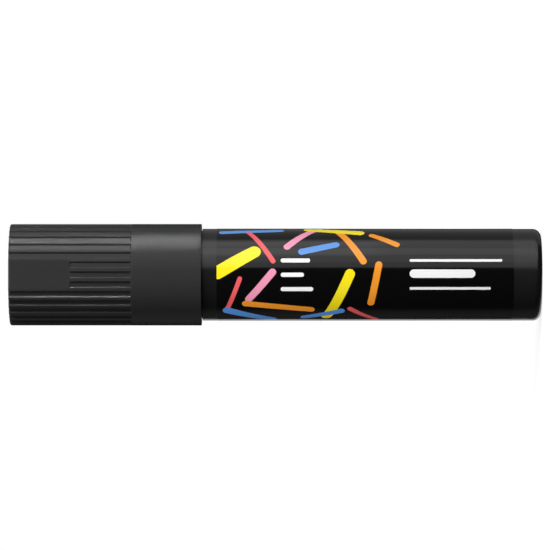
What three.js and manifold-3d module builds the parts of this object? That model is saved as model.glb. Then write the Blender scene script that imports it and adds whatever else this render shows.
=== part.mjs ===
import * as THREE from "three";
import { ConvexGeometry } from "three/addons/geometries/ConvexGeometry.js";
import { mergeVertices } from "three/addons/utils/BufferGeometryUtils.js";
import Module from "manifold-3d";

// A wide valve-action paint marker with its cap on, in millimetres, standing on the closed end of its barrel.
// +Z runs up the marker to the cap. The origin is the centre of the barrel's flat base.
// The flat panel on the cap, and the broad side of the nib, face -Y.

// Shared clearances
const seatGap = 0.3; // between a piece and the face it rests on
const fitGap = 0.15; // radial, between pieces pressed or slid together
const sealGap = 0.05; // between the valve's seal and what it touches

// Nib
const nibWidth = 15;
const nibThickness = 5.2;
const nibLength = 31.5;
const nibReach = 12; // how far it stands out of the nose
const nibBevel = 2.2; // drop of the writing edge from front to back
const nibCorner = 0.7;
const nibTravel = 2.5; // how far it presses in to open the valve

// Walls and steps from the nib outwards, which give the marker its girth
const tunnelClearance = 0.25; // each side of the nib
const noseWall = 1.55;
const noseTaper = 0.7; // how much the nose narrows to its lip
const linerClearance = 0.15; // liner around the sealing land
const linerWall = 0.95;
const linerRoom = 0.4; // liner inside the cap shell
const capUpperWall = 1.75;
const capWall = 1.1; // where it slides over the barrel
const capClearance = 0.15;

// Barrel
const barrelLength = 93;
const barrelWall = 1.1;
const barrelFloor = 1.6;
const barrelEdge = 2.4; // radius around the closed end
const mouthChamfer = 0.2;
const floorFillet = 0.8;
const baseRecessRadius = 7.6;
const baseRecessDepth = 0.45;

// Label, a printed film wrapped round the barrel
const labelBottom = 7.5;
const labelLength = 77;
const labelThickness = 0.1;
const labelGap = 0.03;
const labelSlit = 0.4; // where the film's two edges meet at the back

// Collar, which holds the nib and closes the barrel
const flangeThickness = 1.7;
const flangeEdge = 0.3;
const neckLength = 6;
const neckStep = 0.9; // neck over the sealing land
const landLength = 4.1;
const noseLength = 6;
const noseThickness = 8.4; // across the two flats at the lip
const lipEdge = 0.4;
const collarBeadHeight = 0.35;
const collarBeadWidth = 1.4;
const collarBeadRise = 3.4; // from the flange up to the bead
const collarWall = 2.05; // around the valve
const skirtGrip = 3.7; // how much of the valve the collar covers
const skirtClearance = 0.1;
const skirtChamfer = 0.5;
const tunnelLength = 15;
const chamberClearance = 0.35;

// Gasket in a groove of the collar's skirt
const gasketWire = 1;
const gasketDrop = 1.2; // from the flange down to the groove
const gasketSides = 8;

// Valve seat and the cage under it
const seatThickness = 2;
const seatHoleRadius = 3.4;
const cageWall = 1.2;
const cageRoom = 9.7; // height of the room that the spring works in
const cageFloor = 1.5;
const guideLength = 2;
const guideWall = 1.1;
const guideClearance = 0.25;
const windowCount = 4;
const windowWidth = 4.5;
const windowSill = 1.2;
const windowHeight = 4.2;

// Carrier, the plate under the nib, and the plunger that it sits on
const carrierLength = 14;
const carrierDepth = 4.6;
const carrierThickness = 1.2;
const hubHeight = 2;
const hubWall = 1.1;
const hubRoom = 0.5; // left under the hub when the nib is fully in
const stemRadius = 1.6;
const discRadius = 5.4;
const discThickness = 1.2;
const tailRadius = 1.5;
const tailLength = 6.9;

// Valve seal and spring
const sealInner = 3.8;
const sealWidth = 1.4;
const sealHeight = 0.8;
const sealCorner = 0.25;
const springWire = 0.6;
const springRadius = 4.2; // to the middle of the wire
const springTurns = 5;

// Mixing balls
const ballRadius = 3.175;
const ballSpacing = 8.4; // between the two centres
const ballCount = 2;

// Cap shell
const capOverlap = 4.5; // of the barrel inside the cap
const nibHeadroom = 6.2; // above the nib inside the liner
const linerRoof = 1;
const socketLength = 5.7;
const capTop = 1.6;
const capEdge = 0.55;
const capMouthChamfer = 0.25;
const capDishRadius = 8.6;
const capDishDepth = 0.3;
const capBeadHeight = 0.75;
const capBeadWidth = 1.2;
const capBeadRise = 0.8; // from the collar's flange up to the bead
const ribCount = 32;
const grooveDepth = 0.5;
const grooveMouth = 1.83;
const grooveFloor = 1.4;
const grooveLength = 31.85;
const grooveRunOut = 0.25; // slope at a groove's closed end
const panelRibs = 3; // grooves that the flat panel stands in for
const panelLength = 16.1;

// Liner inside the cap
const spigotRadius = 3;
const spigotShort = 1.2; // left free above the spigot
const socketWall = 1.25;
const linerRimHeight = 1;
const linerRimStep = 0.25;
const linerLeadIn = 0.4;

// Facets
const roundSteps = 64;
const smallSteps = 32;
const filletSteps = 4;
const ballSteps = 20;
const coilSteps = 8; // of a turn of the spring
const wireSides = 5;
const past = 2; // how far a cutter runs past what it cuts

// Radii worked out from the nib outwards
const tunnelHalfWidth = nibWidth / 2 + tunnelClearance;
const tunnelHalfDepth = nibThickness / 2 + tunnelClearance;
const lipRadius = tunnelHalfWidth + noseWall;
const landRadius = lipRadius + noseTaper;
const neckRadius = landRadius + neckStep;
const linerBore = landRadius + linerClearance;
const linerRadius = linerBore + linerWall;
const capUpperBore = linerRadius + linerRoom;
const capRadius = capUpperBore + capUpperWall;
const capBore = capRadius - capWall;
const barrelRadius = capBore - capClearance;
const barrelBore = barrelRadius - barrelWall;
const skirtRadius = barrelBore - skirtClearance;
const valveBore = skirtRadius - collarWall;
const valveRadius = valveBore - fitGap;
const cageBore = valveRadius - cageWall;
const hubBore = stemRadius + fitGap;
const gasketRadius = barrelBore - sealGap - gasketWire / 2;
const chamberRadius = Math.hypot(nibWidth, nibThickness) / 2 + chamberClearance;

// Heights worked out from the base up to the cap's top
const flangeBottom = barrelLength + seatGap;
const flangeTop = flangeBottom + flangeThickness;
const neckTop = flangeTop + neckLength;
const landBottom = neckTop + neckStep;
const noseBottom = landBottom + landLength;
const lipTop = noseBottom + noseLength;
const nibTip = lipTop + nibReach;
const linerCeiling = nibTip + nibHeadroom;
const linerTop = linerCeiling + linerRoof;
const capCeiling = linerTop + socketLength;
const capHeight = capCeiling + capTop;
const capMouth = barrelLength - capOverlap;

// Heights worked out from the nib down through the valve
const nibBottom = nibTip - nibLength;
const carrierTop = nibBottom - seatGap;
const carrierBottom = carrierTop - carrierThickness;
const hubBottom = carrierBottom - hubHeight;
const stemTop = carrierBottom - seatGap;
const seatTop = hubBottom - nibTravel - hubRoom;
const seatUnderside = seatTop - seatThickness;
const cageTop = seatUnderside - seatGap;
const roomFloor = cageTop - cageRoom;
const cageBottom = roomFloor - cageFloor;
const skirtBottom = seatTop - skirtGrip;
const sealTop = seatUnderside - sealGap;
const sealBottom = sealTop - sealHeight;
const discTop = sealBottom - sealGap;
const discBottom = discTop - discThickness;

const wasm = await Module();
wasm.setup();

// A closed geometry as a solid that can be joined and cut.
function solidFrom(geometry) {
  const bare = new THREE.BufferGeometry().setAttribute(
    "position",
    (geometry.index ? geometry.toNonIndexed() : geometry).getAttribute("position"),
  );
  const merged = mergeVertices(bare, 1e-4);
  return new wasm.Manifold(
    new wasm.Mesh({
      numProp: 3,
      vertProperties: new Float32Array(merged.getAttribute("position").array),
      triVerts: new Uint32Array(merged.index.array),
    }),
  );
}

// A solid back as a geometry.
function geometryFrom(solid) {
  const mesh = solid.getMesh();
  const geometry = new THREE.BufferGeometry();
  geometry.setAttribute("position", new THREE.BufferAttribute(mesh.vertProperties, mesh.numProp));
  geometry.setIndex(new THREE.BufferAttribute(mesh.triVerts, 1));
  geometry.computeVertexNormals();
  return geometry;
}

// A profile of [radius, height] pairs turned about Z, listed outwards along the bottom and up the outside.
function turned(profile, steps = roundSteps) {
  const points = profile.map(([radius, height]) => new THREE.Vector2(radius, height));
  return new THREE.LatheGeometry(points, steps).rotateX(Math.PI / 2);
}

// A ring's closed profile turned about Z.
function turnedRing(profile, steps = roundSteps) {
  return turned([...profile, profile[0]], steps);
}

// Points of a quarter round between two directions about a centre, in degrees from the radius direction.
function arc(centreRadius, centreHeight, radius, from, to) {
  return Array.from({ length: filletSteps + 1 }, (_, i) => {
    const angle = THREE.MathUtils.degToRad(from + ((to - from) * i) / filletSteps);
    return [centreRadius + radius * Math.cos(angle), centreHeight + radius * Math.sin(angle)];
  });
}

// A rounded rectangle in X and Y, raised from one height to another.
function roundedBlock(width, depth, corner, bottom, top) {
  const x = width / 2;
  const y = depth / 2;
  const outline = new THREE.Shape();
  outline.moveTo(-x + corner, -y);
  outline.lineTo(x - corner, -y);
  outline.absarc(x - corner, -y + corner, corner, -Math.PI / 2, 0, false);
  outline.lineTo(x, y - corner);
  outline.absarc(x - corner, y - corner, corner, 0, Math.PI / 2, false);
  outline.lineTo(-x + corner, y);
  outline.absarc(-x + corner, y - corner, corner, Math.PI / 2, Math.PI, false);
  outline.lineTo(-x, -y + corner);
  outline.absarc(-x + corner, -y + corner, corner, Math.PI, 1.5 * Math.PI, false);
  const settings = { depth: top - bottom, bevelEnabled: false, curveSegments: filletSteps };
  return new THREE.ExtrudeGeometry(outline, settings).translate(0, 0, bottom);
}

// A prism along X, from an outline of [y, z] corners.
function prismAlongX(corners, halfLength) {
  const ends = [-halfLength, halfLength];
  const points = ends.flatMap((x) => corners.map(([y, z]) => new THREE.Vector3(x, y, z)));
  return new ConvexGeometry(points);
}

// Barrel: a tube with a closed, rounded end and a shallow recess under it.
function barrel() {
  return turned([
    [0, baseRecessDepth],
    [baseRecessRadius - baseRecessDepth, baseRecessDepth],
    [baseRecessRadius, 0],
    ...arc(barrelRadius - barrelEdge, barrelEdge, barrelEdge, -90, 0),
    [barrelRadius, barrelLength - mouthChamfer],
    [barrelRadius - mouthChamfer, barrelLength],
    [barrelBore, barrelLength],
    [barrelBore, barrelFloor + floorFillet],
    [barrelBore - floorFillet, barrelFloor],
    [0, barrelFloor],
  ]);
}

// Label: a film around the barrel, its two edges meeting at the back.
function label() {
  const inner = barrelRadius + labelGap;
  const outer = inner + labelThickness;
  const film = turnedRing([
    [inner, labelBottom],
    [outer, labelBottom],
    [outer, labelBottom + labelLength],
    [inner, labelBottom + labelLength],
  ]);
  const slit = new THREE.BoxGeometry(labelSlit, past, labelLength + past);
  slit.translate(0, inner, labelBottom + labelLength / 2);
  return geometryFrom(solidFrom(film).subtract(solidFrom(slit)));
}

// Collar: skirt in the barrel, flange on its mouth, neck with a snap bead, sealing land and a flattened nose.
function collar() {
  const beadBottom = flangeTop + collarBeadRise;
  const beadTop = beadBottom + collarBeadWidth;
  const shoulder = seatTop + seatGap;
  const grooveTop = flangeBottom - gasketDrop;
  const grooveBottom = grooveTop - gasketWire - 2 * fitGap;
  const grooveFloorRadius = gasketRadius - gasketWire / 2 - sealGap;
  const body = turned([
    [0, lipTop - tunnelLength],
    [chamberRadius, lipTop - tunnelLength],
    [chamberRadius, shoulder],
    [valveBore, shoulder],
    [valveBore, skirtBottom],
    [skirtRadius - skirtChamfer, skirtBottom],
    [skirtRadius, skirtBottom + skirtChamfer],
    [skirtRadius, grooveBottom],
    [grooveFloorRadius, grooveBottom],
    [grooveFloorRadius, grooveTop],
    [skirtRadius, grooveTop],
    [skirtRadius, flangeBottom],
    [barrelRadius, flangeBottom],
    ...arc(barrelRadius - flangeEdge, flangeTop - flangeEdge, flangeEdge, 0, 90),
    [neckRadius, flangeTop],
    [neckRadius, beadBottom],
    [neckRadius + collarBeadHeight, beadBottom + collarBeadHeight],
    [neckRadius + collarBeadHeight, beadTop - collarBeadHeight],
    [neckRadius, beadTop],
    [neckRadius, neckTop],
    [landRadius, landBottom],
    [landRadius, noseBottom],
    ...arc(lipRadius - lipEdge, lipTop - lipEdge, lipEdge, 0, 90),
    [0, lipTop],
  ]);
  const opened = solidFrom(body).subtract(solidFrom(tunnel()));
  return geometryFrom(flatCutters().reduce((solid, cutter) => solid.subtract(cutter), opened));
}

// Gasket: a round rubber ring in the skirt's groove, which seals the barrel.
function collarGasket() {
  const height = flangeBottom - gasketDrop - fitGap - gasketWire / 2;
  const section = Array.from({ length: gasketSides }, (_, i) => {
    const angle = ((i + 0.5) * 2 * Math.PI) / gasketSides;
    const reach = gasketWire / 2 / Math.cos(Math.PI / gasketSides);
    return [gasketRadius + reach * Math.cos(angle), height + reach * Math.sin(angle)];
  });
  return turnedRing(section);
}

// The nib's tunnel.
function tunnel() {
  const top = lipTop + past;
  const bottom = lipTop - tunnelLength - past;
  return roundedBlock(2 * tunnelHalfWidth, 2 * tunnelHalfDepth, nibCorner, bottom, top);
}

// The two slanting flats of the nose, from the sealing land's edge to the lip.
function flatCutters() {
  const slope = (landRadius - noseThickness / 2) / noseLength;
  const reach = past / slope;
  return [-1, 1].map((side) =>
    solidFrom(
      prismAlongX(
        [
          [side * landRadius, noseBottom],
          [side * (noseThickness / 2 - past), lipTop + reach],
          [side * (landRadius + past), lipTop + reach],
          [side * (landRadius + past), noseBottom],
        ],
        landRadius + past,
      ),
    ),
  );
}

// Nib: a block of felt with a bevelled writing edge.
function nib() {
  const block = roundedBlock(nibWidth, nibThickness, nibCorner, nibBottom, nibTip);
  const front = -nibThickness / 2;
  const slope = nibBevel / nibThickness;
  const bevel = prismAlongX(
    [
      [front - past, nibTip + past * slope],
      [front - past, nibTip + past + past * slope],
      [-front + past, nibTip + past + past * slope],
      [-front + past, nibTip - nibBevel - past * slope],
    ],
    nibWidth,
  );
  return geometryFrom(solidFrom(block).subtract(solidFrom(bevel)));
}

// Valve seat: the plate with the hole that the seal closes.
function valveSeat() {
  return turnedRing([
    [seatHoleRadius, seatUnderside],
    [valveRadius, seatUnderside],
    [valveRadius, seatTop],
    [seatHoleRadius, seatTop],
  ]);
}

// Valve cage: a cup under the seat, with windows for the paint and a guide for the plunger's tail.
function valveCage() {
  const guideBore = tailRadius + guideClearance;
  const shell = turnedRing([
    [guideBore, cageBottom],
    [valveRadius, cageBottom],
    [valveRadius, cageTop],
    [cageBore, cageTop],
    [cageBore, roomFloor],
    [guideBore + guideWall, roomFloor],
    [guideBore + guideWall, roomFloor + guideLength],
    [guideBore, roomFloor + guideLength],
  ]);
  let cage = solidFrom(shell);
  for (let i = 0; i < windowCount; i++) {
    const window = new THREE.BoxGeometry(cageWall + past, windowWidth, windowHeight);
    window.translate(valveRadius - cageWall / 2, 0, roomFloor + windowSill + windowHeight / 2);
    window.rotateZ(((i + 0.5) * 2 * Math.PI) / windowCount);
    cage = cage.subtract(solidFrom(window));
  }
  return geometryFrom(cage);
}

// Plunger: a stem through the seat, the disc that carries the seal, and a guided tail.
function valvePlunger() {
  return turned(
    [
      [0, discBottom - tailLength],
      [tailRadius, discBottom - tailLength],
      [tailRadius, discBottom],
      [discRadius, discBottom],
      [discRadius, discTop],
      [stemRadius, discTop],
      [stemRadius, stemTop],
      [0, stemTop],
    ],
    smallSteps,
  );
}

// Carrier: the plate under the nib, with a hub pressed on the plunger's stem.
function nibCarrier() {
  const plate = roundedBlock(carrierLength, carrierDepth, nibCorner, carrierBottom, carrierTop);
  const hub = turnedRing(
    [
      [hubBore, hubBottom],
      [hubBore + hubWall, hubBottom],
      [hubBore + hubWall, (carrierBottom + carrierTop) / 2],
      [hubBore, (carrierBottom + carrierTop) / 2],
    ],
    smallSteps,
  );
  return geometryFrom(solidFrom(plate).add(solidFrom(hub)));
}

// Seal: a soft ring on the disc that closes the seat.
function valveSeal() {
  const inner = sealInner;
  const outer = sealInner + sealWidth;
  return turnedRing(
    [
      [inner, sealBottom],
      [outer, sealBottom],
      [outer, sealTop - sealCorner],
      [outer - sealCorner, sealTop],
      [inner + sealCorner, sealTop],
      [inner, sealTop - sealCorner],
    ],
    smallSteps,
  );
}

// Spring: one open-wound coil between the cage's floor and the disc.
function valveSpring() {
  const bottom = roomFloor + seatGap + springWire / 2;
  const top = discBottom - seatGap - springWire / 2;
  class Coil extends THREE.Curve {
    getPoint(share, target = new THREE.Vector3()) {
      const angle = share * springTurns * 2 * Math.PI;
      const height = bottom + (top - bottom) * share;
      return target.set(springRadius * Math.cos(angle), springRadius * Math.sin(angle), height);
    }
  }
  const wire = new THREE.Shape(
    Array.from({ length: wireSides }, (_, i) => {
      const angle = (i * 2 * Math.PI) / wireSides;
      return new THREE.Vector2(Math.cos(angle), Math.sin(angle)).multiplyScalar(springWire / 2);
    }),
  );
  return new THREE.ExtrudeGeometry(wire, {
    steps: springTurns * coilSteps,
    extrudePath: new Coil(),
    bevelEnabled: false,
  });
}

// One mixing ball on the barrel's floor.
function mixingBall(index) {
  const ball = new THREE.SphereGeometry(ballRadius, ballSteps, ballSteps / 2).rotateX(Math.PI / 2);
  const x = (index - (ballCount - 1) / 2) * ballSpacing;
  return ball.translate(x, 0, barrelFloor + seatGap / 2 + ballRadius);
}

// Cap shell: a thimble with a socket for the liner, grooves down its outside and one flat panel.
function capShell() {
  const beadBottom = flangeTop + capBeadRise;
  const beadTop = beadBottom + capBeadWidth;
  const socketBore = spigotRadius + fitGap;
  const shell = turned([
    [0, capCeiling],
    [socketBore, capCeiling],
    [socketBore, linerTop + seatGap],
    [socketBore + socketWall, linerTop + seatGap],
    [socketBore + socketWall, capCeiling],
    [capUpperBore, capCeiling],
    [capUpperBore, neckTop + capWall],
    [capBore, neckTop],
    [capBore, beadTop],
    [capBore - capBeadHeight, beadTop - capBeadWidth / 4],
    [capBore - capBeadHeight, beadBottom + capBeadWidth / 4],
    [capBore, beadBottom],
    [capBore, capMouth + capMouthChamfer],
    [capBore + capMouthChamfer, capMouth],
    [capRadius - capMouthChamfer, capMouth],
    [capRadius, capMouth + capMouthChamfer],
    [capRadius, capHeight - capEdge],
    [capRadius - capEdge, capHeight],
    [capDishRadius, capHeight],
    [capDishRadius - capDishDepth, capHeight - capDishDepth],
    [0, capHeight - capDishDepth],
  ]);
  const cut = [...grooves(), panel()].reduce((a, b) => a.add(b));
  return geometryFrom(solidFrom(shell).subtract(cut));
}

// The grooves as solids. Those under the flat panel stop where it starts.
function grooves() {
  const bottom = capHeight - grooveLength;
  return Array.from({ length: ribCount }, (_, i) => {
    const fromPanel = Math.min(i, ribCount - i);
    const underPanel = fromPanel <= (panelRibs - 1) / 2;
    const top = underPanel ? capHeight - panelLength + grooveRunOut : capHeight + past;
    return solidFrom(groove(bottom, top).rotateZ((i * 2 * Math.PI) / ribCount));
  });
}

// One groove on the -Y side: a floor that widens outwards to its mouth and slopes up at its lower end.
function groove(bottom, top) {
  const floor = capRadius - grooveDepth;
  const levels = [0, 1 + past / grooveDepth].map((share) => ({
    y: -(floor + share * grooveDepth),
    x: (grooveFloor + share * (grooveMouth - grooveFloor)) / 2,
    z: bottom + grooveRunOut - share * grooveRunOut,
  }));
  const points = levels.flatMap(({ x, y, z }) =>
    [-x, x].flatMap((side) => [new THREE.Vector3(side, y, z), new THREE.Vector3(side, y, top)]),
  );
  return new ConvexGeometry(points);
}

// The flat panel on the -Y side, as wide as the grooves it stands in for.
function panel() {
  const flat = capRadius * Math.cos((panelRibs * Math.PI) / ribCount);
  const halfWidth = capRadius * Math.sin((panelRibs * Math.PI) / ribCount);
  const block = new THREE.BoxGeometry(2 * halfWidth, past, panelLength + past);
  return solidFrom(block.translate(0, -flat - past / 2, capHeight + past / 2 - panelLength / 2));
}

// Liner: a thin cup that closes round the collar's land, held by a spigot in the cap's socket.
function capLiner() {
  const mouth = landBottom + seatGap;
  const spigotTop = capCeiling - spigotShort;
  return turned([
    [0, linerCeiling],
    [linerBore, linerCeiling],
    [linerBore, mouth + linerLeadIn],
    [linerBore + linerLeadIn, mouth],
    [linerRadius + linerRimStep, mouth],
    [linerRadius + linerRimStep, mouth + linerRimHeight],
    [linerRadius, mouth + linerRimHeight + linerRimStep],
    [linerRadius, linerTop - linerRoof],
    [linerRadius - linerRoof, linerTop],
    [spigotRadius, linerTop],
    [spigotRadius, spigotTop],
    [0, spigotTop],
  ]);
}

const materials = {
  capPlastic: { color: 0x2c2c2d, roughness: 0.46, metalness: 0 },
  barrelPlastic: { color: 0x1b1b1c, roughness: 0.2, metalness: 0 },
  labelFilm: { color: 0x0a090a, roughness: 0.12, metalness: 0 },
  collarPlastic: { color: 0x1e1e1f, roughness: 0.35, metalness: 0 },
  linerPlastic: { color: 0xd8d8d2, roughness: 0.5, metalness: 0 },
  felt: { color: 0xf0ede4, roughness: 0.95, metalness: 0 },
  valvePlastic: { color: 0xe8e8e4, roughness: 0.45, metalness: 0 },
  sealRubber: { color: 0x3a3a3c, roughness: 0.8, metalness: 0 },
  steel: { color: 0xc9cbcd, roughness: 0.25, metalness: 1 },
};

// A named piece with a material of its own.
function piece(name, geometry, finish) {
  const mesh = new THREE.Mesh(geometry, new THREE.MeshStandardMaterial(materials[finish]));
  mesh.name = name;
  return mesh;
}

const marker = new THREE.Group();
marker.add(
  piece("barrel", barrel(), "barrelPlastic"),
  piece("label", label(), "labelFilm"),
  piece("collar", collar(), "collarPlastic"),
  piece("collar_gasket", collarGasket(), "sealRubber"),
  piece("valve_seat", valveSeat(), "valvePlastic"),
  piece("valve_cage", valveCage(), "valvePlastic"),
  piece("valve_plunger", valvePlunger(), "valvePlastic"),
  piece("valve_seal", valveSeal(), "sealRubber"),
  piece("valve_spring", valveSpring(), "steel"),
  piece("nib_carrier", nibCarrier(), "valvePlastic"),
  piece("nib", nib(), "felt"),
  piece("cap_shell", capShell(), "capPlastic"),
  piece("cap_liner", capLiner(), "linerPlastic"),
);
for (let i = 0; i < ballCount; i++) {
  marker.add(piece(`mixing_ball_${i + 1}`, mixingBall(i), "steel"));
}

export default marker;
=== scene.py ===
import math

import bpy
import numpy
from mathutils import Matrix, Vector


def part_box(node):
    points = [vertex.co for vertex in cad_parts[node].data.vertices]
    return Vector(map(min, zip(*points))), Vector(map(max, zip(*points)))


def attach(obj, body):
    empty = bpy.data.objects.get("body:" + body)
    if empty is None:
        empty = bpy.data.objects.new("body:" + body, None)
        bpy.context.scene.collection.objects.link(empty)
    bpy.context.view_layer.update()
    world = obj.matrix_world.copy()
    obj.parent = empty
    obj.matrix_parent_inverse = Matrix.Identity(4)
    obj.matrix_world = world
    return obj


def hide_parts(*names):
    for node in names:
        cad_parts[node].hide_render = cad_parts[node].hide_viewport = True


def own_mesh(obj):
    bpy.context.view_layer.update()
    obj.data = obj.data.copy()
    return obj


# A wide paint marker standing on its closed end, with the cap's flat panel towards -Y.
# Lengths in the dictionaries are millimetres, apart from the studio's, and mm turns them into metres.

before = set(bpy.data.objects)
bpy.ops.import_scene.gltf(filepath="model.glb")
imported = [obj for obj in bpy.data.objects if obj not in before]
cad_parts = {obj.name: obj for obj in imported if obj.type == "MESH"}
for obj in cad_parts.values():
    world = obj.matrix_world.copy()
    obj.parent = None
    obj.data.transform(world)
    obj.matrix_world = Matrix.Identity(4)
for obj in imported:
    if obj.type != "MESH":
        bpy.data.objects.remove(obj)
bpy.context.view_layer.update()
mm = 0.001
tiny = 1e-6  # a length or an angle that counts as nothing
boxes = {node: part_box(node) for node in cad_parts}


def heights(node):
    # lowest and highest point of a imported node, in millimetres
    low, high = boxes[node]
    return low.z / mm, high.z / mm


def reach(node):
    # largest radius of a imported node, in millimetres
    return boxes[node][1].x / mm


# Shader sockets that can be used in Python expressions

class Value:
    def __init__(self, finish, socket):
        self.finish = finish
        self.socket = socket

    def maths(self, operation, *terms, clamp=False):
        settings = {"operation": operation, "use_clamp": clamp}
        return self.finish.node("ShaderNodeMath", settings, dict(enumerate(terms)))

    def __add__(self, other):
        return self.maths("ADD", self, other)

    __radd__ = __add__

    def __sub__(self, other):
        return self.maths("SUBTRACT", self, other)

    def __rsub__(self, other):
        return self.maths("SUBTRACT", other, self)

    def __mul__(self, other):
        return self.maths("MULTIPLY", self, other)

    __rmul__ = __mul__

    def clamped(self):
        return self.maths("ADD", self, 0, clamp=True)

    def between(self, low, high):
        # 0 below low, 1 above high, and smooth in between
        settings = {"interpolation_type": "SMOOTHSTEP"}
        return self.finish.node("ShaderNodeMapRange", settings, {0: self, 1: low, 2: high})


class Finish:
    # a material or world: its shader with the plain sockets set, and nodes added by calls
    def __init__(self, owner, shader="Principled BSDF", **sockets):
        owner.use_nodes = True
        self.owner = owner
        self.tree = owner.node_tree
        self.shader = self.tree.nodes[shader]
        for key, value in sockets.items():
            self.shader.inputs[key.replace("_", " ")].default_value = value

    def node(self, kind, settings=None, inputs=None, output=0):
        made = self.tree.nodes.new(kind)
        for key, value in (settings or {}).items():
            setattr(made, key, value)
        for key, value in (inputs or {}).items():
            self.connect(value, made.inputs[key])
        return Value(self, made.outputs[output])

    def connect(self, value, socket):
        if isinstance(value, Value):
            self.tree.links.new(value.socket, socket)
        else:
            socket.default_value = value

    def feed(self, socket, value):
        self.connect(value, self.shader.inputs[socket])

    def vectors(self, operation, *terms, output="Vector", **named):
        inputs = {**dict(enumerate(terms)), **named}
        return self.node("ShaderNodeVectorMath", {"operation": operation}, inputs, output)

    def axes(self, vector):
        return [self.node("ShaderNodeSeparateXYZ", None, {0: vector}, axis) for axis in "XYZ"]

    def place(self):
        # the point on the piece in millimetres, which moves with the piece
        return self.vectors("SCALE", self.node("ShaderNodeTexCoord", output="Object"), Scale=1 / mm)

    def stretched(self, vector, scale):
        return self.vectors("MULTIPLY", vector, scale)

    def noise(self, vector, scale, detail=2, roughness=0.5):
        inputs = {"Vector": vector, "Scale": scale, "Detail": detail, "Roughness": roughness}
        return self.node("ShaderNodeTexNoise", None, inputs)

    def mixed(self, factor, one, other):
        # colour one where factor is 0, and the other where it is 1; 6, 7 and 2 are the colour sockets
        return self.node("ShaderNodeMix", {"data_type": "RGBA"}, {0: factor, 6: one, 7: other}, 2)

    def bump(self, height, distance, strength=1.0):
        inputs = {"Height": height, "Distance": distance * mm, "Strength": strength}
        self.feed("Normal", self.node("ShaderNodeBump", None, inputs))


def surface(name, **sockets):
    return Finish(bpy.data.materials.new(name), **sockets)


def colour(text):
    # a colour written as on screen, such as "ffe81f", in the linear values that shaders take
    parts = [int(text[i:i + 2], 16) / 255 for i in (0, 2, 4)]
    return tuple(((p + 0.055) / 1.055) ** 2.4 if p > 0.04045 else p / 12.92 for p in parts) + (1,)


# Mesh making: every piece is a stack of closed rows of points, lofted into one skin

creaseAngle = 38


def point(angle, radius, height):
    # angles start at -Y and turn towards +X
    return Vector((math.sin(angle) * radius, -math.cos(angle) * radius, height))


def evenAngles(count):
    return [i * math.tau / count for i in range(count)]


def ring(radius, height, angles):
    # radius and height are numbers, or functions of the angle
    def at(value, angle):
        return value(angle) if callable(value) else value
    return [point(a, at(radius, a), at(height, a)) for a in angles]


def turnedRows(profile, angles):
    return [ring(r, z, angles) if r > tiny else [Vector((0, 0, z))] for r, z in profile]


def capped(rows):
    # closes both open ends with their middle points
    first, last = [[sum(row, Vector()) / len(row)] for row in (rows[0], rows[-1])]
    return [first] + rows + [last]


def loft(name, rows, closed=False):
    # a row of one point is a pole, and closed joins the last row to the first
    points = []
    numbered = []
    for row in rows:
        numbered.append(range(len(points), len(points) + len(row)))
        points.extend(p * mm for p in row)
    if closed:
        numbered.append(numbered[0])
    faces = []
    for low, high in zip(numbered, numbered[1:]):
        count = max(len(low), len(high))
        for k in range(count):
            n = (k + 1) % count
            if len(low) == 1:
                faces.append((low[0], high[n], high[k]))
            elif len(high) == 1:
                faces.append((low[k], low[n], high[0]))
            else:
                faces.append((low[k], low[n], high[n], high[k]))
    mesh = bpy.data.meshes.new(name)
    mesh.from_pydata(points, [], faces)
    mesh.validate()
    mesh.shade_smooth()
    mesh.set_sharp_from_angle(angle=math.radians(creaseAngle))
    piece = bpy.data.objects.new(name, mesh)
    bpy.context.scene.collection.objects.link(piece)
    return piece


def softened(corners, steps=5, closed=False):
    # a profile of (radius, height, rounding) corners as (radius, height) points with each corner rounded
    most = 0.49  # of a side, so that the roundings at its two ends stay apart
    made = []
    count = len(corners)
    for i, (r, z, rounding) in enumerate(corners):
        here = Vector((r, z))
        if not rounding or (not closed and i in (0, count - 1)):
            made.append(here)
            continue
        before = Vector(corners[i - 1][:2]) - here
        after = Vector(corners[(i + 1) % count][:2]) - here
        half = before.angle(after) / 2
        back = min(rounding / math.tan(half), before.length * most, after.length * most)
        size = back * math.tan(half)
        start = here + before.normalized() * back
        end = here + after.normalized() * back
        inwards = (before.normalized() + after.normalized()).normalized()
        centre = here + inwards * size / math.sin(half)
        for k in range(steps + 1):
            spoke = (start - centre).lerp(end - centre, k / steps)
            made.append(centre + spoke.normalized() * size)
    return [(p.x, p.y) for p in made]


def turned(name, corners, steps=128, closed=False, arcSteps=5):
    # corners run outwards along the bottom and up the outside
    profile = softened(corners, arcSteps, closed)
    return loft(name, turnedRows(profile, evenAngles(steps)), closed)


def quarterRound(steps):
    # a rounded edge of size 1, as distances gone in the first side's direction and in the second's
    tilts = [k / steps * math.pi / 2 for k in range(steps + 1)]
    return [(math.sin(tilt), 1 - math.cos(tilt)) for tilt in tilts]


def roundSection(middle, height, radius, count):
    # the profile of a round wire
    turns = evenAngles(count)
    return [(middle + radius * math.cos(turn), height + radius * math.sin(turn)) for turn in turns]


def roundedSide(width, depth, corner):
    # the radius of a rounded rectangle's outline at an angle
    halfWidth, halfDepth = width / 2, depth / 2
    corner = min(corner, halfWidth, halfDepth)
    straightX, straightY = halfWidth - corner, halfDepth - corner

    def radius(angle):
        x, y = abs(math.sin(angle)), abs(math.cos(angle))
        if halfWidth * y <= straightY * x:
            return halfWidth / x
        if halfDepth * x <= straightX * y:
            return halfDepth / y
        along = x * straightX + y * straightY
        return along + math.sqrt(along ** 2 - straightX ** 2 - straightY ** 2 + corner ** 2)
    return radius


def eased(x, blend):
    # 0 below 0, 1 above 1, straight between, with both corners rounded
    def corner(v):
        if v <= -blend:
            return 0
        return v if v >= blend else (v + blend) ** 2 / (4 * blend)
    return corner(x) - corner(x - 1)


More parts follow.
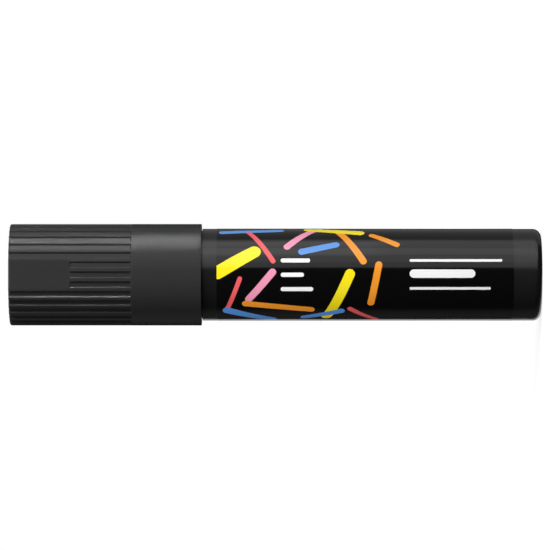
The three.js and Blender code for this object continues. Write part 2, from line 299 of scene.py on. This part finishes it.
def softMinimum(a, b, blend):
    # the smaller of two, rounded over where they cross
    gap = max(blend - abs(a - b), 0) / blend
    return min(a, b) - gap * gap * blend / 4


# Camera: square to the marker from far off, rolled so that the cap is at the left and +X is up

view = {
    "distance": 1341.5,
    "lens": 336.1,
    "sensor": 36,
    "middle": 69.37,
    "drop": 0.06,
    "farthest": 20000,
}


def makeCamera():
    data = bpy.data.cameras.new("camera")
    data.lens = view["lens"]
    data.sensor_width = view["sensor"]
    data.clip_end = view["farthest"] * mm
    camera = bpy.data.objects.new("camera", data)
    bpy.context.scene.collection.objects.link(camera)
    turn = Matrix(((0, 1, 0), (0, 0, -1), (-1, 0, 0))).to_4x4()
    place = Vector((-view["drop"], -view["distance"], view["middle"])) * mm
    camera.matrix_world = Matrix.Translation(place) @ turn
    bpy.context.scene.camera = camera


makeCamera()
print("camera placed")

# Plastics and rubber, each named as its slot, with the grain in waves to a millimetre

plastics = {
    "cap_plastic": {"base": "3a3a3b", "roughness": 0.24, "grain": 3.2, "grainDepth": 0.003},
    "barrel_plastic": {"base": "1e1e1f", "roughness": 0.2, "grain": 0.6, "grainDepth": 0.004},
    "collar_plastic": {"base": "202021", "roughness": 0.33, "grain": 2.5, "grainDepth": 0.005},
    "liner_plastic": {"base": "d9d9d3", "roughness": 0.42, "grain": 1.6, "grainDepth": 0.006},
    "valve_plastic": {"base": "e6e6e2", "roughness": 0.4, "grain": 1.8, "grainDepth": 0.006},
    "seal_rubber": {"base": "333335", "roughness": 0.72, "grain": 4, "grainDepth": 0.01},
}

moulding = {
    "flow": (0.5, 0.5, 0.09),
    "paler": 1.14,
    "lift": 0.0008,
    "fineShare": 0.5,
    "flowGloss": 0.05,
    "grainGloss": 0.04,
}


def moulded(name, base, roughness, grain, grainDepth):
    # a faint flow along the piece, a fine grain and small changes of gloss
    made = surface(name)
    place = made.place()
    flow = made.noise(made.stretched(place, moulding["flow"]), 1, 3)
    fine = made.noise(place, grain, 3, 0.6)
    speckle = fine - 0.5
    dark = colour(base)
    pale = tuple(min(1, v * moulding["paler"] + moulding["lift"]) for v in dark[:3]) + (1,)
    made.feed("Base Color", made.mixed((flow + speckle * moulding["fineShare"]).clamped(), dark, pale))
    gloss = (flow - 0.5) * moulding["flowGloss"] + speckle * moulding["grainGloss"]
    made.feed("Roughness", gloss + roughness)
    made.bump(fine, grainDepth)
    return made


# Felt and steel

feltLook = {
    "pale": "f4f1e9",
    "shade": "d8d2c2",
    "fibre": 5,
    "fibreShare": 0.6,
    "strand": (3.2, 3.2, 0.35),
    "contrast": (0.34, 0.56),
    "depth": 0.12,
}

steelLook = {
    "dark": "b4b6b8",
    "bright": "d2d4d6",
    "wear": 1.1,
    "contrast": (0.35, 0.65),
    "roughness": 0.12,
    "wornRoughness": 0.16,
    "depth": 0.002,
}


def makeFelt():
    # pressed fibres: a tangle with long strands along the nib
    made = surface("felt", Roughness=0.95, Sheen_Weight=0.25, Specular_IOR_Level=0.2)
    place = made.place()
    tangle = made.noise(place, feltLook["fibre"], 5, 0.7)
    strands = made.noise(made.stretched(place, feltLook["strand"]), 1.3, 4, 0.65)
    weave = tangle * feltLook["fibreShare"] + strands * (1 - feltLook["fibreShare"])
    shade, pale = colour(feltLook["shade"]), colour(feltLook["pale"])
    made.feed("Base Color", made.mixed(weave.between(*feltLook["contrast"]), shade, pale))
    made.bump(weave, feltLook["depth"], 0.8)
    return made


def makeSteel():
    made = surface("steel", Metallic=1.0)
    place = made.place()
    wear = made.noise(place, steelLook["wear"], 4, 0.6)
    dark, bright = colour(steelLook["dark"]), colour(steelLook["bright"])
    made.feed("Base Color", made.mixed(wear.between(*steelLook["contrast"]), dark, bright))
    made.feed("Roughness", wear * steelLook["wornRoughness"] + steelLook["roughness"])
    made.bump(made.noise(place, 5, 2), steelLook["depth"])
    return made


# Label: glossy black film printed with slanted round-ended bars, and plain white strokes

labelPrint = {
    "black": "090909",
    "yellow": "ffe91c",
    "blue": "5a97e3",
    "coral": "ee5f62",
    "orange": "f79a2b",
    "pink": "f59bb9",
    "white": "fbfbfb",
    "edge": 0.05,
    "roughness": 0.12,
    "uneven": 0.05,
    "ripple": 0.01,
    # colour, distance from the cap's edge of the film, distance up from the middle, length, width, slant
    "bars": [
        ("blue", 9.0, 14.6, 17.0, 1.8, 5),
        ("coral", 11.5, 8.6, 13.0, 1.3, -58),
        ("orange", 34.5, 9.2, 15.0, 1.8, -58),
        ("pink", 22.5, 12.2, 14.0, 1.8, 46),
        ("yellow", 5.0, 3.4, 14.5, 3.4, 31),
        ("yellow", 30.5, 14.8, 16.0, 2.4, -10),
        ("blue", 26.5, 7.4, 11.0, 1.8, 14),
        ("coral", 4.4, -5.4, 10.5, 1.2, 70),
        ("pink", 11.4, -3.0, 11.5, 1.9, 50),
        ("orange", 16.0, -9.2, 19.0, 1.8, -7),
        ("blue", 8.6, -13.0, 15.0, 2.4, -22),
        ("yellow", 31.5, -6.6, 17.5, 2.6, 66),
        ("blue", 27.5, -12.4, 12.0, 1.8, 18),
        ("orange", 41.0, -2.6, 12.5, 1.8, 79),
        ("coral", 38.0, -12.6, 10.0, 1.4, -38),
        ("orange", 43.5, 10.4, 9.0, 1.6, -30),
    ],
    "strokes": [
        ("white", 20.4, 3.8, 7.6, 1.1, 0),
        ("white", 19.6, 0.0, 6.0, 1.1, 0),
        ("white", 20.8, -3.8, 8.4, 1.1, 0),
        ("white", 62.0, 3.8, 24.0, 0.7, 0),
        ("white", 58.5, 0.3, 17.0, 2.2, 0),
        ("white", 60.5, -3.6, 21.0, 0.7, 0),
    ],
}


def roundEnded(made, place, x, y, length, width, slant):
    # 1 on a straight mark with round ends, and 0 off it
    inputs = {"Vector": place, "Location": (x, y, 0), "Rotation": (0, 0, math.radians(slant))}
    local = made.node("ShaderNodeMapping", {"vector_type": "TEXTURE"}, inputs)
    straight = ((length - width) / 2, 0, 0)
    beyond = made.vectors("SUBTRACT", made.vectors("ABSOLUTE", local), straight)
    away = made.vectors("LENGTH", made.vectors("MAXIMUM", beyond, (0, 0, 0)), output="Value")
    edge = labelPrint["edge"]
    return 1 - away.between(width / 2 - edge, width / 2 + edge)


def makeLabelFilm():
    made = surface("label_film", Specular_IOR_Level=0.5)
    place = made.place()
    x, y, z = made.axes(place)
    # up from the middle of the front, round the barrel, and down from the edge under the cap
    radius = reach("label")
    up = x.maths("ARCTAN2", x, 0 - y) * radius
    along = heights("label")[1] - z
    # the bars repeat at the back
    half = math.pi * radius / 2
    wrapped = up.maths("WRAP", up, half, -half)
    front = made.node("ShaderNodeCombineXYZ", None, {"X": along, "Y": up})
    around = made.node("ShaderNodeCombineXYZ", None, {"X": along, "Y": wrapped})
    shown = colour(labelPrint["black"])
    for flat, marks in ((around, labelPrint["bars"]), (front, labelPrint["strokes"])):
        for ink, *mark in marks:
            shown = made.mixed(roundEnded(made, flat, *mark), shown, colour(labelPrint[ink]))
    made.feed("Base Color", shown)
    gloss = (made.noise(place, 0.5, 3) - 0.5) * labelPrint["uneven"]
    made.feed("Roughness", gloss + labelPrint["roughness"])
    made.bump(made.noise(place, 0.25), labelPrint["ripple"])
    return made


finishes = {name: moulded(name, **look) for name, look in plastics.items()}
finishes["felt"] = makeFelt()
finishes["steel"] = makeSteel()
finishes["label_film"] = makeLabelFilm()
print("materials made")


def finished(piece, body, slot, node):
    piece.data.materials.append(finishes[slot].owner)
    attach(piece, body)
    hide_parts(node)


# Barrel: a tube with a rounded closed end and a shallow recess under it

barrelShape = {
    "wall": 1.1,
    "floor": 1.6,
    "edge": 2.4,
    "recess": 7.6,
    "recessDepth": 0.45,
    "seatLine": 0.24,
    "seatDepth": 0.45,
    "seatEdge": 0.03,
    "seatOverlap": 0.05,
    "steps": 256,
    "arcSteps": 12,
}


def makeBarrel():
    shape = barrelShape
    low, top = heights("barrel")
    outer = reach("barrel")
    inner = outer - shape["wall"]
    # a fine line runs round where the cap's mouth stops, and ends just under the cap
    seat, line = heights("cap_shell")[0], outer - shape["seatDepth"]
    lineLow, edge, overlap = seat - shape["seatLine"], shape["seatEdge"], shape["seatOverlap"]
    corners = [
        (0, low + shape["recessDepth"], 0),
        (shape["recess"] - shape["recessDepth"], low + shape["recessDepth"], 0.3),
        (shape["recess"], low, 0.2),
        (outer, low, shape["edge"]),
        (outer, lineLow, edge),
        (line, lineLow + edge, edge),
        (line, seat + overlap, edge),
        (outer, seat + overlap * 2, edge),
        (outer, top, 0.2),
        (inner, top, 0.1),
        (inner, low + shape["floor"], 0.8),
        (0, low + shape["floor"], 0),
    ]
    piece = turned("barrel_tube", corners, shape["steps"], arcSteps=shape["arcSteps"])
    finished(piece, "barrel", "barrel_plastic", "barrel")


makeBarrel()

# Label: the film, whose two edges meet at the back

labelShape = {
    "gap": 0.01,
    "thickness": 0.045,
    "slit": 0.4,
    "edge": 0.02,
    "steps": 240,
}


def makeLabel():
    shape = labelShape
    low, top = heights("label")
    inner = reach("barrel") + shape["gap"]
    outer = inner + shape["thickness"]
    # each row is the film's section at one angle
    edge = shape["edge"]
    corners = [(inner, low, 0), (outer, low, edge), (outer, top, edge), (inner, top, 0)]
    section = softened(corners, 3, True)
    end = math.pi - shape["slit"] / 2 / outer
    angles = numpy.linspace(-end, end, shape["steps"] + 1)
    piece = loft("label_wrap", capped([[point(a, r, z) for r, z in section] for a in angles]))
    finished(piece, "barrel", "label_film", "label")


makeLabel()
print("barrel and label made")

# Cap: ribbed shell with a flat panel, open at the barrel's end

capShape = {
    "wall": 1.1,
    "upperWall": 1.75,
    "step": 101.0,
    "stepRise": 1.1,
    "edge": 0.55,
    "edgeSteps": 6,
    "mouthEdge": 0.14,
    "ribs": 32,
    "grooveDepth": 0.5,
    "grooveWidth": 1.74,
    "grooveTilt": 67,
    "grooveFillet": 0.12,
    "grooveEdge": 0.06,
    "grooveLength": 31.85,
    "runOut": 0.25,
    "runOutBlend": 0.3,
    "panelRibs": 3,
    "panelLength": 16.1,
    "panelStep": 0.15,
    "panelBlend": 0.25,
    "rim": 1.6,
    "dish": 8.6,
    "dishDepth": 0.3,
    "ceiling": 1.6,
    "socket": 3.15,
    "socketWall": 1.25,
    "socketGrip": 4.2,
    "beadAt": 95.8,
    "beadWidth": 1.2,
    "beadHeight": 0.75,
    "beadSlope": 0.3,
    # rows of the mesh, from the mouth's edge, the grooves' ends, the panel's end and the top edge
    "mouthRows": [0.2, 5.86],
    "grooveRows": [-1, *numpy.linspace(-0.1, 0.35, 10), 4],
    "panelRows": [-4, *numpy.linspace(-0.08, 0.22, 11), 4],
    "topRows": [-0.6],
}


def grooveSection():
    # from a groove's middle to the middle of the rib beside it: distances along the shell and depths
    shape = capShape
    brink, depth = shape["grooveWidth"] / 2, shape["grooveDepth"]
    foot = brink - depth / math.tan(math.radians(shape["grooveTilt"]))
    corners = [
        (0, depth, 0),
        (foot, depth, shape["grooveFillet"]),
        (brink, 0, shape["grooveEdge"]),
        (math.pi / shape["ribs"] * reach("cap_shell"), 0, 0),
    ]
    return zip(*softened(corners, 6))


grooveAways, grooveDepths = grooveSection()


def capAngles():
    # more points where a groove's walls bend
    pitch = math.tau / capShape["ribs"]
    side = [away / reach("cap_shell") for away in grooveAways[1:-1]]
    marks = [-pitch / 2, *(-mark for mark in reversed(side)), 0, *side]
    return [k * pitch + mark for k in range(capShape["ribs"]) for mark in marks]


def capRadius(angle, height):
    # the outside of the shell
    shape = capShape
    radius = reach("cap_shell")
    fromTop = height - heights("cap_shell")[1]
    pitch = math.tau / shape["ribs"]
    turn = (angle + math.pi) % math.tau - math.pi
    fromGroove = abs((turn + pitch / 2) % pitch - pitch / 2) * radius
    grooveShare = eased((fromTop + shape["grooveLength"]) / shape["runOut"], shape["runOutBlend"])
    grooved = radius - numpy.interp(fromGroove, grooveAways, grooveDepths) * grooveShare
    halfPanel = pitch * shape["panelRibs"] / 2
    if abs(turn) >= halfPanel - tiny:
        return grooved
    flat = radius * math.cos(halfPanel) / math.cos(turn)
    panelShare = eased((fromTop + shape["panelLength"]) / shape["panelStep"], shape["panelBlend"])
    return grooved + (flat - grooved) * panelShare


def capOutside(angles):
    # up from the mouth, and over the top edge at the grooves' full depth
    shape = capShape
    mouth, top = heights("cap_shell")
    edge = shape["edge"]
    levels = [mouth + shape["mouthEdge"] + above for above in shape["mouthRows"]]
    levels += [top - shape["grooveLength"] + above for above in shape["grooveRows"]]
    levels += [top - shape["panelLength"] + above for above in shape["panelRows"]]
    levels += [top - edge + above for above in shape["topRows"]]
    rows = [ring(lambda a, z=z: capRadius(a, z), z, angles) for z in levels]
    for up, inwards in quarterRound(shape["edgeSteps"]):
        inset = edge * inwards
        rows.append(ring(lambda a, d=inset: capRadius(a, top) - d, top - edge * (1 - up), angles))
    return rows


def capDish(angles):
    # from the flat rim to the middle of the closed end
    shape = capShape
    top = heights("cap_shell")[1]
    floor = top - shape["dishDepth"]
    corners = [
        (reach("cap_shell") - shape["rim"], top, 0),
        (shape["dish"], top, 0.2),
        (shape["dish"] - shape["dishDepth"], floor, 0.3),
        (0, floor, 0),
    ]
    return turnedRows(softened(corners), angles)


def capInside(angles):
    # from the middle of the ceiling, round the inner cap's socket, and down over the bead to the mouth
    shape = capShape
    mouth, top = heights("cap_shell")
    radius = reach("cap_shell")
    ceiling = top - shape["ceiling"]
    socket, socketOuter = shape["socket"], shape["socket"] + shape["socketWall"]
    socketEnd = heights("cap_liner")[1] - shape["socketGrip"]
    upper, bore = radius - shape["upperWall"], radius - shape["wall"]
    bead, beadTop = shape["beadAt"], shape["beadAt"] + shape["beadWidth"]
    crest, slope = bore - shape["beadHeight"], shape["beadSlope"]
    corners = [
        (0, ceiling, 0),
        (socket, ceiling, 0.1),
        (socket, socketEnd, 0.15),
        (socketOuter, socketEnd, 0.15),
        (socketOuter, ceiling, 0.3),
        (upper, ceiling, 0.5),
        (upper, shape["step"] + shape["stepRise"], 0.2),
        (bore, shape["step"], 0.2),
        (bore, beadTop, 0.1),
        (crest, beadTop - slope, 0.2),
        (crest, bead + slope, 0.2),
        (bore, bead, 0.1),
        (bore, mouth + shape["mouthEdge"], 0),
    ]
    return turnedRows(softened(corners, 2), angles)


def capLip(angles):
    # round the mouth, without the row where the inside ends
    mouth, edge = heights("cap_shell")[0], capShape["mouthEdge"]
    radius = reach("cap_shell")
    bore, above = radius - capShape["wall"], mouth + 1
    corners = [(bore, above, 0), (bore, mouth, edge), (radius, mouth, edge), (radius, above, 0)]
    return turnedRows(softened(corners)[2:-1], angles)


def makeCap():
    angles = capAngles()
    rows = capInside(angles) + capLip(angles) + capOutside(angles) + capDish(angles)
    finished(loft("cap_ribbed_shell", rows), "cap_shell", "cap_plastic", "cap_shell")


makeCap()

# Inner cap: a cup that seals on the collar, with a spigot in the cap's socket

linerShape = {
    "wall": 0.95,
    "roof": 1.0,
    "spigot": 3.0,
    "spigotLength": 4.5,
    "rim": 1.0,
    "rimStep": 0.25,
}


def makeLiner():
    shape = linerShape
    mouth, top = heights("cap_liner")
    rim = reach("cap_liner")
    outer = rim - shape["rimStep"]
    bore = outer - shape["wall"]
    roof = top - shape["spigotLength"]
    corners = [
        (0, roof - shape["roof"], 0),
        (bore, roof - shape["roof"], 0.8),
        (bore, mouth, 0.3),
        (rim, mouth, 0.2),
        (rim, mouth + shape["rim"], 0.15),
        (outer, mouth + shape["rim"] + shape["rimStep"], 0.1),
        (outer, roof, 1.0),
        (shape["spigot"], roof, 0.2),
        (shape["spigot"], top, 0.3),
        (0, top, 0),
    ]
    finished(turned("cap_inner_cup", corners), "cap_liner", "liner_plastic", "cap_liner")


makeLiner()
print("cap made")

# Collar: one loft that goes up the outside, over the lip and down the nib's slot

collarShape = {
    "flange": 1.7,
    "flangeGap": 0.3,
    "neck": 10.9,
    "neckLength": 6.0,
    "land": 10.0,
    "landStep": 0.9,
    "landLength": 4.1,
    "landMargin": 0.2,
    "lip": 9.3,
    "lipEdge": 0.4,
    "lipSteps": 5,
    "noseThickness": 8.4,
    "noseBlend": 0.25,
    "noseRows": 15,
    "bead": 0.35,
    "beadRise": 3.4,
    "beadWidth": 1.4,
    "slotWidth": 15.5,
    "slotDepth": 5.7,
    "slotCorner": 0.7,
    "slotLength": 15.0,
    "slotLead": 0.25,
    "leadSteps": 4,
    "chamber": 8.29,
    "valveBore": 8.75,
    "shoulder": 86.3,
    "skirt": 10.8,
    "grooveTop": 92.1,
    "grooveHeight": 1.3,
    "grooveRadius": 9.8,
    "steps": 288,
}


def makeCollar():
    shape = collarShape
    bottom, top = heights("collar")
    outer = reach("collar")
    angles = evenAngles(shape["steps"])
    flange = heights("barrel")[1] + shape["flangeGap"]
    flangeTop = flange + shape["flange"]
    neckTop = flangeTop + shape["neckLength"]
    landLow = neckTop + shape["landStep"]
    noseLow = landLow + shape["landLength"]
    neck, land = shape["neck"], shape["land"]
    bead, beadLow = shape["bead"], flangeTop + shape["beadRise"]
    beadTop = beadLow + shape["beadWidth"]
    grooveTop, grooveLow = shape["grooveTop"], shape["grooveTop"] - shape["grooveHeight"]
    corners = [
        (shape["chamber"], top - shape["slotLength"], 0),
        (shape["chamber"], shape["shoulder"], 0.1),
        (shape["valveBore"], shape["shoulder"], 0),
        (shape["valveBore"], bottom, 0.2),
        (shape["skirt"], bottom, 0.6),
        (shape["skirt"], grooveLow, 0.1),
        (shape["grooveRadius"], grooveLow, 0.1),
        (shape["grooveRadius"], grooveTop, 0.1),
        (shape["skirt"], grooveTop, 0.1),
        (shape["skirt"], flange, 0.1),
        (outer, flange, 0.15),
        (outer, flangeTop, 0.3),
        (neck, flangeTop, 0.3),
        (neck, beadLow, 0.15),
        (neck + bead, beadLow + bead, 0.15),
        (neck + bead, beadTop - bead, 0.15),
        (neck, beadTop, 0.15),
        (neck, neckTop, 0.25),
        (land, landLow, 0.25),
        (land, noseLow - shape["landMargin"], 0),
    ]
    rows = turnedRows(softened(corners), angles)

    def nose(height, inset=0):
        # a cone cut by two slanting flats, which meet the land at its edge
        share = (height - noseLow) / (top - noseLow)
        cone = land + (shape["lip"] - land) * share - inset
        flat = land + (shape["noseThickness"] / 2 - land) * share - inset

        def radius(angle):
            return softMinimum(cone, flat / max(abs(math.cos(angle)), tiny), shape["noseBlend"])
        return ring(radius, height, angles)

    edge, lead = shape["lipEdge"], shape["slotLead"]
    rows += [nose(z) for z in numpy.linspace(noseLow, top - edge, shape["noseRows"])]
    for up, inwards in quarterRound(shape["lipSteps"])[1:]:
        rows.append(nose(top - edge * (1 - up), edge * inwards))
    slot = roundedSide(shape["slotWidth"], shape["slotDepth"], shape["slotCorner"])
    for inwards, down in quarterRound(shape["leadSteps"]):
        wider = lead * (1 - inwards)
        rows.append(ring(lambda a, w=wider: slot(a) + w, top - lead * down, angles))
    rows.append(ring(slot, top - shape["slotLength"], angles))
    finished(loft("collar_nose", rows, closed=True), "barrel", "collar_plastic", "collar")


makeCollar()

# Nib: a felt block with a bevelled writing edge

nibShape = {
    "width": 15.0,
    "thickness": 5.2,
    "corner": 0.7,
    "bevel": 2.2,
    "edge": 0.35,
    "edgeSteps": 4,
    "steps": 240,
    # rows of the mesh: inwards from the edges of both ends, and shares of the height
    "bottomRows": [1.2, 0.4],
    "sideRows": [0.3, 0.6, 0.85],
    "topRows": [0.5, 1.2],
}


def makeNib():
    shape = nibShape
    bottom, top = heights("nib")
    angles = evenAngles(shape["steps"])
    edge, edgeSteps = shape["edge"], quarterRound(shape["edgeSteps"])

    def outline(inset):
        return roundedSide(shape["width"] - 2 * inset, shape["thickness"] - 2 * inset, shape["corner"])

    def topRow(inset, sink):
        # the bevel falls from the -Y side to the +Y side
        radius = outline(inset)

        def height(angle):
            y = -math.cos(angle) * radius(angle)
            return top - sink - shape["bevel"] * (y / shape["thickness"] + 0.5)
        return ring(radius, height, angles)

    rows = [[Vector((0, 0, bottom))]]
    rows += [ring(outline(edge + inset), bottom, angles) for inset in shape["bottomRows"]]
    rows += [ring(outline(edge * (1 - out)), bottom + edge * up, angles) for out, up in edgeSteps]
    rows += [ring(outline(0), bottom + (top - bottom) * share, angles) for share in shape["sideRows"]]
    rows += [topRow(edge * inwards, edge * (1 - up)) for up, inwards in edgeSteps]
    rows += [topRow(edge + inset, 0) for inset in shape["topRows"]]
    rows.append([Vector((0, 0, top - shape["bevel"] / 2))])
    finished(loft("nib_felt_block", rows), "nib", "felt", "nib")


makeNib()
print("collar and nib made")

# Valve, gasket, spring and balls, which stay inside

valveShape = {
    "seatHole": 3.4,
    "stem": 1.6,
    "disc": 5.4,
    "tail": 1.5,
    "tailLength": 6.9,
    "discThickness": 1.2,
    "sealWidth": 1.4,
    "gasketWire": 1.0,
    "gasketSides": 16,
    "gasketSteps": 160,
}

springShape = {
    "wire": 0.6,
    "coil": 4.2,
    "turns": 5,
    "closedTurns": 0.8,
    "turnSteps": 24,
    "wireSides": 10,
    "travel": 2.5,
}

ballSteps = 24


def makeSeat():
    low, high = heights("valve_seat")
    hole, rim = valveShape["seatHole"], reach("valve_seat")
    corners = [(hole, low, 0.1), (rim, low, 0.2), (rim, high, 0.2), (hole, high, 0.3)]
    piece = turned("valve_seat_plate", corners, closed=True)
    finished(piece, "barrel", "valve_plastic", "valve_seat")


def makePlunger():
    shape = valveShape
    low, high = heights("valve_plunger")
    disc = low + shape["tailLength"]
    discTop = disc + shape["discThickness"]
    corners = [
        (0, low, 0),
        (shape["tail"], low, 0.3),
        (shape["tail"], disc, 0.15),
        (shape["disc"], disc, 0.2),
        (shape["disc"], discTop, 0.2),
        (shape["stem"], discTop, 0.15),
        (shape["stem"], high, 0.2),
        (0, high, 0),
    ]
    finished(turned("valve_plunger_stem", corners), "plunger", "valve_plastic", "valve_plunger")


def makeSeal():
    low, high = heights("valve_seal")
    rim = reach("valve_seal")
    inner = rim - valveShape["sealWidth"]
    corners = [(inner, low, 0.1), (rim, low, 0.1), (rim, high, 0.25), (inner, high, 0.25)]
    piece = turned("valve_seal_ring", corners, closed=True)
    finished(piece, "plunger", "seal_rubber", "valve_seal")


def makeGasket():
    shape = valveShape
    wire = shape["gasketWire"] / 2
    middle = sum(heights("collar_gasket")) / 2
    section = roundSection(reach("collar_gasket") - wire, middle, wire, shape["gasketSides"])
    rows = turnedRows(section, evenAngles(shape["gasketSteps"]))
    piece = loft("collar_gasket_ring", rows, closed=True)
    finished(piece, "barrel", "seal_rubber", "collar_gasket")


def makeSpring():
    # an open coil with most of a turn closed at each end
    shape = springShape
    low, high = heights("valve_spring")
    wire, turns, closedTurns = shape["wire"] / 2, shape["turns"], shape["closedTurns"]
    bottom, top = low + wire, high - wire
    closedRise = closedTurns * shape["wire"]
    marks = [0, closedTurns, turns - closedTurns, turns]
    levels = [bottom, bottom + closedRise, top - closedRise, top]
    rows = []
    for turn in numpy.linspace(0, turns, turns * shape["turnSteps"] + 1):
        level = numpy.interp(turn, marks, levels)
        section = roundSection(shape["coil"], level, wire, shape["wireSides"])
        rows.append([point(turn * math.tau, r, z) for r, z in section])
    piece = loft("valve_spring_coil", capped(rows))
    finished(piece, "barrel", "steel", "valve_spring")
    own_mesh(piece)


def makeBall(number):
    node = f"mixing_ball_{number}"
    low, high = boxes[node]
    radius = (high.z - low.z) / 2 / mm
    middle = (low + high) / 2 / mm
    tilts = [math.pi * k / ballSteps for k in range(ballSteps + 1)]
    profile = [(radius * math.sin(tilt), -radius * math.cos(tilt)) for tilt in tilts]
    rows = turnedRows(profile, evenAngles(ballSteps * 2))
    piece = loft(f"steel_ball_{number}", [[p + middle for p in row] for row in rows])
    finished(piece, f"ball_{number}", "steel", node)


makeSeat()
makePlunger()
makeSeal()
makeGasket()
makeSpring()
makeBall(1)
makeBall(2)
for node in ("valve_cage", "nib_carrier"):
    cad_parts[node].material_slots[0].material = finishes["valve_plastic"].owner
print("inner pieces made")

# Stage, in metres: a pale floor, a white surround and soft light from the side that is up in the picture

studio = {
    "floorSize": 12,
    "floorColour": "a8a8a8",
    # painted shade: how much the floor's glow is lowered near the marker, and the distances over which
    # that fades out
    "floorShade": 0.23,
    "shade": (0.12, 0.7),
    "overheadPlace": (0.15, 0.1, 1.5),
    "overheadSize": 0.5,
    "overheadPower": 4,
    # the surround, apart from what is seen of it: shares of white, and ranges of direction
    "ambient": 0.36,
    "horizon": 0.2,
    "dim": 0.015,
    "glow": 0.08,
    "glowBelow": (-0.3, -0.05),
    "glowFrom": (0.0, 0.3),
    "glowUntil": (0.5, 0.9),
    # panels of light beside the marker: a group's heights, then each one's two angles and brightness
    "panelDistance": 1.0,
    "softbox": {
        "span": (-1.03, 1.17),
        "panels": [(18, 98, 0.8), (32, 92, 0.25), (52, 70, 0.35), (98, 160, 0.25), (180, 212, 0.9)],
    },
    "upperSoftbox": {
        "span": (0, 1.17),
        "panels": [(48, 72, 0.35), (74, 90, 0.45)],
    },
    "capSoftbox": {
        "span": (-0.5, 0.7),
        "panels": [
            (54, 111, 0.34),
            (58, 106, 0.4),
            (62, 101, 0.5),
            (66, 96, 0.6),
            (70, 91, 0.65),
            (74, 87, 0.5),
        ],
    },
    "fill": {
        "span": (0, 1.17),
        "panels": [(25, 61, 5.45)],
    },
    "labelFill": {
        "span": (0, 1.17),
        "panels": [(-55, -15, 2.1)],
    },
}


def panel(name, start, end, level, low, high):
    # a lamp that spans two angles, turned from the front (-Y) towards +X, evenly bright all over
    distance, length = studio["panelDistance"], high - low
    width = 2 * distance * math.tan(math.radians((end - start) / 2))
    data = bpy.data.lights.new(name, "AREA")
    data.shape = "RECTANGLE"
    data.size, data.size_y = width, length
    data.energy = level * math.pi * width * length
    lamp = bpy.data.objects.new(name, data)
    bpy.context.scene.collection.objects.link(lamp)
    middle = math.radians((start + end) / 2)
    away, across = point(middle, 1, 0), point(middle + math.pi / 2, 1, 0)
    turn = Matrix((across, away.cross(across), away)).transposed().to_4x4()
    place = away * distance + Vector((0, 0, (low + high) / 2))
    lamp.matrix_world = Matrix.Translation(place) @ turn
    lamp.visible_camera = False
    return lamp


def panels(group):
    each = enumerate(studio[group]["panels"], 1)
    return [panel(f"{group}_{number}", *values, *studio[group]["span"]) for number, values in each]


def lightOnly(lamp, piece, state):
    # INCLUDE lights the piece alone, and EXCLUDE everything but the piece
    lit = bpy.data.collections.new(f"{lamp.name}_lights")
    lit.objects.link(bpy.data.objects[piece])
    lit.collection_objects[0].light_linking.link_state = state
    lamp.light_linking.receiver_collection = lit


def makeLamps():
    cap = "cap_ribbed_shell"
    for lamp in panels("softbox") + panels("upperSoftbox"):
        lamp.visible_diffuse = False
        lightOnly(lamp, cap, "EXCLUDE")
    for lamp in panels("capSoftbox"):
        # without shadows it reaches into the grooves
        lamp.visible_diffuse = False
        lamp.data.use_shadow = False
        lamp.data.cycles.use_multiple_importance_sampling = False
        lightOnly(lamp, cap, "INCLUDE")
    for lamp in panels("fill"):
        lamp.visible_glossy = False
    for lamp in panels("labelFill"):
        lamp.visible_glossy = False
        lightOnly(lamp, "label_wrap", "INCLUDE")


def makeOverhead():
    # a small lamp above, which gives the floor its shadow and lights the cap's top
    data = bpy.data.lights.new("overhead", "AREA")
    data.size = studio["overheadSize"]
    data.energy = studio["overheadPower"]
    lamp = bpy.data.objects.new("overhead", data)
    bpy.context.scene.collection.objects.link(lamp)
    lamp.location = studio["overheadPlace"]
    lamp.rotation_euler = Vector(lamp.location).to_track_quat("Z", "Y").to_euler()
    lamp.visible_camera = False


def makeFloor():
    # pale, with a little painted shade near the marker under its real shadow, and left out of
    # reflections
    size = studio["floorSize"] / 2
    corners = [(-size, -size, 0), (size, -size, 0), (size, size, 0), (-size, size, 0)]
    mesh = bpy.data.meshes.new("floor")
    mesh.from_pydata(corners, [], [(0, 1, 2, 3)])
    floor = bpy.data.objects.new("floor", mesh)
    bpy.context.scene.collection.objects.link(floor)
    made = surface("floor_paper", Roughness=0.9, Specular_IOR_Level=0.1, Emission_Strength=1)
    made.feed("Base Color", colour(studio["floorColour"]))
    seen = made.node("ShaderNodeLightPath", output="Is Camera Ray")
    away = made.vectors("LENGTH", made.place(), output="Value") * mm
    # painted shade: the glow is lowered near the marker, so that the real shadow shows there
    near = 1 - away.between(*studio["shade"])
    glow = seen * (1 - near * studio["floorShade"])
    made.feed("Emission Color", made.mixed(glow, colour("000000"), colour("ffffff")))
    mesh.materials.append(made.owner)
    floor.visible_glossy = False
    floor.visible_diffuse = False
    floor.visible_shadow = False


def makeSurround():
    # white where it is seen, an even glow from above the floor, and nearly dark in reflections
    world = bpy.data.worlds.new("surround")
    bpy.context.scene.world = world
    made = Finish(world, "Background")
    x, y, z = made.axes(made.node("ShaderNodeTexCoord", output="Generated"))
    rays = ("Is Camera Ray", "Is Diffuse Ray", "Is Transmission Ray")
    seen, diffuse, clear = [made.node("ShaderNodeLightPath", output=ray) for ray in rays]
    low = 1 - x.between(*studio["glowBelow"])
    behind = y.between(*studio["glowFrom"]) * (1 - y.between(*studio["glowUntil"]))
    level = low * behind * studio["glow"] + studio["dim"]
    above = z.between(-studio["horizon"], studio["horizon"])
    level = level.maths("MAXIMUM", level, diffuse * above * studio["ambient"])
    level = level.maths("MAXIMUM", level, seen.maths("MAXIMUM", seen, clear))
    made.feed("Color", made.mixed(level, colour("000000"), colour("ffffff")))
    world.cycles.sampling_method = "NONE"


makeLamps()
makeOverhead()
makeFloor()
makeSurround()
bpy.context.scene.view_settings.view_transform = "Standard"
print("stage made")
